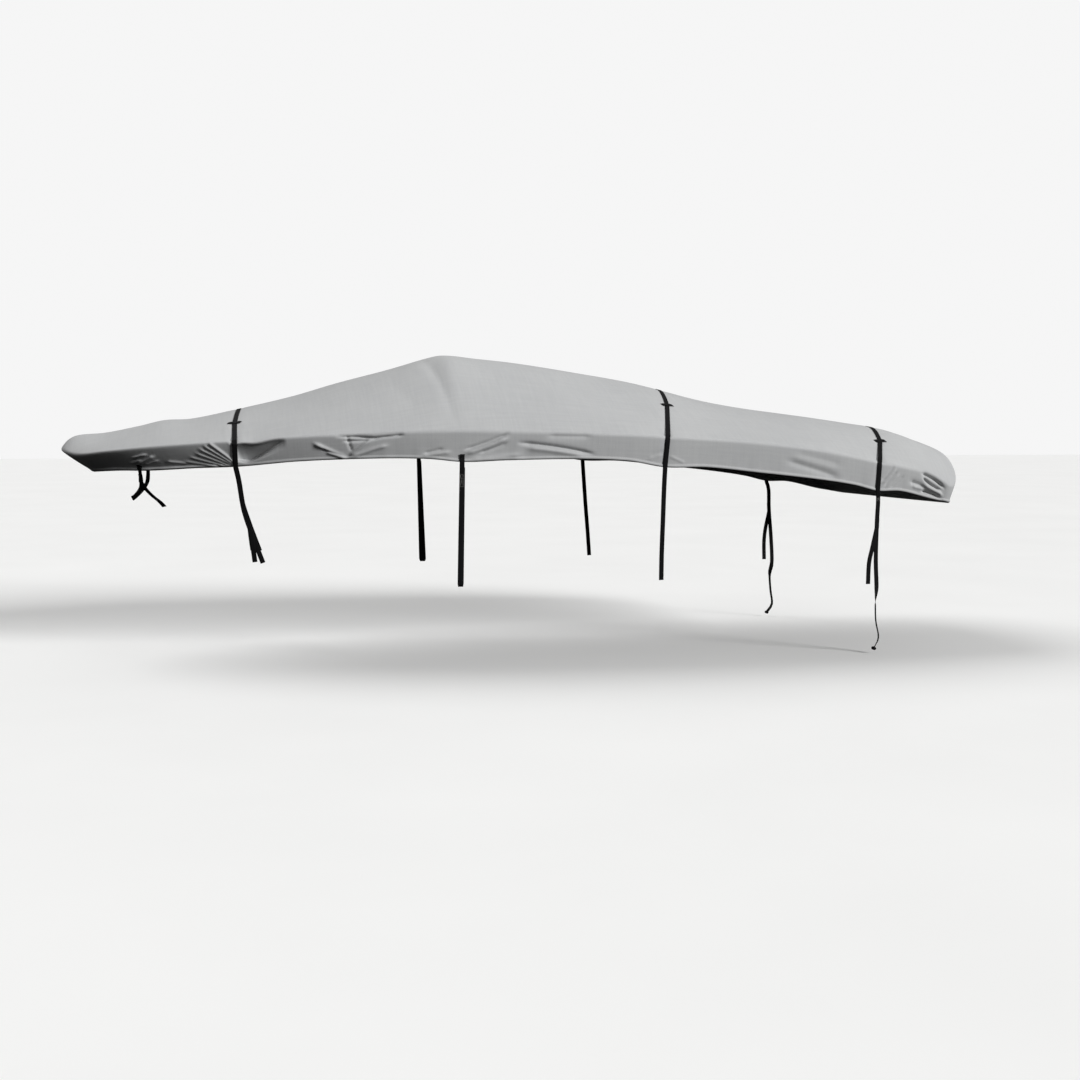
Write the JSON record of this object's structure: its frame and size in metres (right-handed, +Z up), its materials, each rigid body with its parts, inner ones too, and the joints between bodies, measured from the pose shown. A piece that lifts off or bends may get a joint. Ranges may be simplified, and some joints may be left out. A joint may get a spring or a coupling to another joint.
{
  "type": "fitted boat cover with tie-down straps",
  "caption": "Fitted canvas cover for a trailered runabout, peaked over the windscreen, with a tucked skirt, crossing tie-down straps, sewn strap loops and hem ties.",
  "frame": {"origin": "on the centre plane, under the cover's crown, where the sheet's under side rests on the top of the boat's windscreen", "axes": "+X from bow to stern, +Y to the boat's starboard side, +Z up; the side towards -Y is the one that the picture shows"},
  "size_m": [6.8059, 2.5151, 2.2712],
  "materials": {
    "canvas": "plain woven polyester canvas, mid grey, matte",
    "webbing": "woven polypropylene webbing, black",
    "loop_tape": "woven polypropylene tape, black"
  },
  "bodies": {
    "root": {"cover_cloth": "canvas", "fore_strap": "webbing", "fore_strap_end_near": "webbing", "fore_strap_end_far": "webbing", "mid_strap": "webbing", "aft_strap": "webbing", "aft_strap_end_near": "webbing", "aft_strap_end_far": "webbing", "side_strap_near": "webbing", "side_strap_far": "webbing", "bow_strap": "webbing", "bow_strap_tail": "webbing", "fore_loop_near": "loop_tape", "fore_loop_far": "loop_tape", "mid_loop_near": "loop_tape", "mid_loop_far": "loop_tape", "aft_loop_near": "loop_tape", "aft_loop_far": "loop_tape"}
  },
  "joints": []
}
